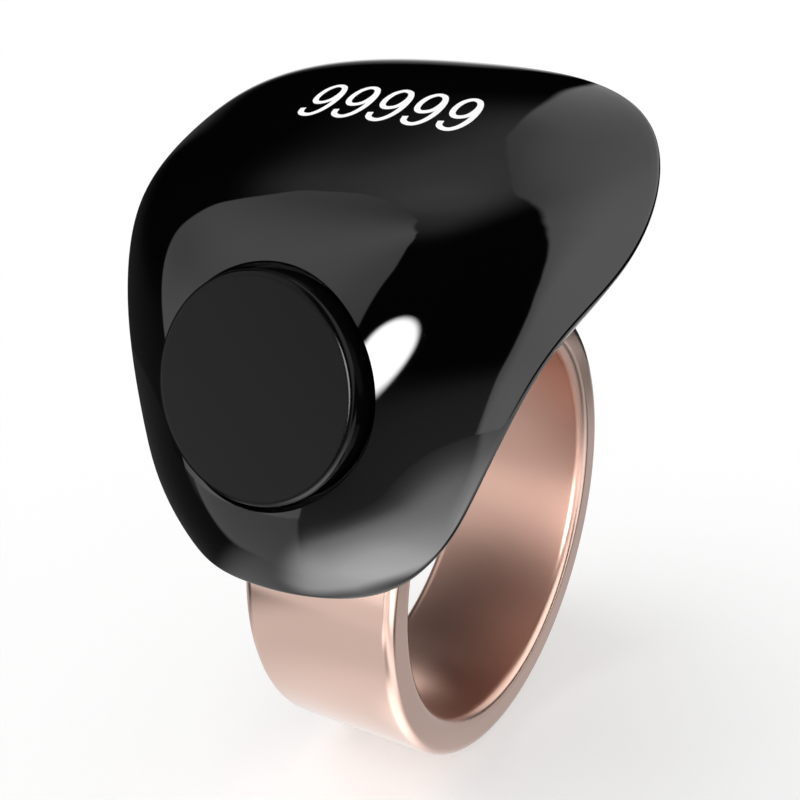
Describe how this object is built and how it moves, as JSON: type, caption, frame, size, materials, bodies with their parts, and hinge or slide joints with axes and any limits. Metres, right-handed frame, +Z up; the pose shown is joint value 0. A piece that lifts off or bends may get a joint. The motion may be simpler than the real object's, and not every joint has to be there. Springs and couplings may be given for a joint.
{
  "type": "digital tasbih counter",
  "caption": "Finger-ring digital prayer counter: a domed gloss head with a round push button and a lit number readout sits on a closed metal band worn on the finger.",
  "frame": {"origin": "centre of the finger bore", "axes": "+X along the finger, +Z up over the readout, button towards -Y"},
  "size_m": [0.0248, 0.029, 0.0352],
  "materials": {
    "rose_gold": "polished rose-gold plate on steel",
    "cover_black": "high-gloss smoked polycarbonate",
    "case_black": "gloss black moulded plastic",
    "button_satin": "satin black moulded plastic",
    "seal_rubber": "soft black rubber",
    "bond": "cured dark adhesive film",
    "dark_plastic": "matte dark moulded plastic",
    "pale_plastic": "matte pale moulded plastic",
    "contact_steel": "plated steel",
    "contact_gold": "gold-plated brass",
    "board_green": "glass-fibre board with green solder mask",
    "ribbon_amber": "thin amber film ribbon",
    "panel_glass": "dark glass panel",
    "foam": "dark closed-cell foam",
    "chip_black": "moulded chip packages",
    "cell_foil": "satin foil pouch"
  },
  "bodies": {
    "head": {"ring_band": "rose_gold", "front_shell": "cover_black", "rear_shell": "case_black", "shell_seal": "seal_rubber", "seat_adhesive": "bond", "switch_body": "dark_plastic", "switch_dome": "contact_steel", "switch_board": "board_green", "switch_bracket": "dark_plastic", "switch_flex": "ribbon_amber", "display_panel": "panel_glass", "display_pad": "foam", "display_holder": "dark_plastic", "holder_screws": "contact_steel", "display_flex": "ribbon_amber", "main_board": "board_green", "controller_chip": "chip_black", "board_parts": "chip_black", "battery_cell": "cell_foil", "battery_leads": "contact_steel", "battery_cushion": "foam", "charge_contacts": "contact_gold", "contact_seals": "seal_rubber", "contact_flex": "ribbon_amber", "charge_magnets": "contact_steel"},
    "button": {"button_cap": "button_satin", "button_oring": "seal_rubber"},
    "plunger": {"switch_plunger": "pale_plastic"}
  },
  "joints": [
    {"name": "button_press", "type": "slide", "parent": "head", "child": "button", "axis": [0, 0.9772, -0.2125], "range_m": [0, 0.0004], "stiffness_N_per_m": 1500, "springref_m": -0.0005},
    {"name": "plunger_press", "type": "slide", "parent": "head", "child": "plunger", "axis": [0, 0.9772, -0.2125], "range_m": [0, 0.0004]}
  ],
  "couplings": [
    {"joint": "plunger_press", "follows": "button_press", "ratio": 1}
  ]
}
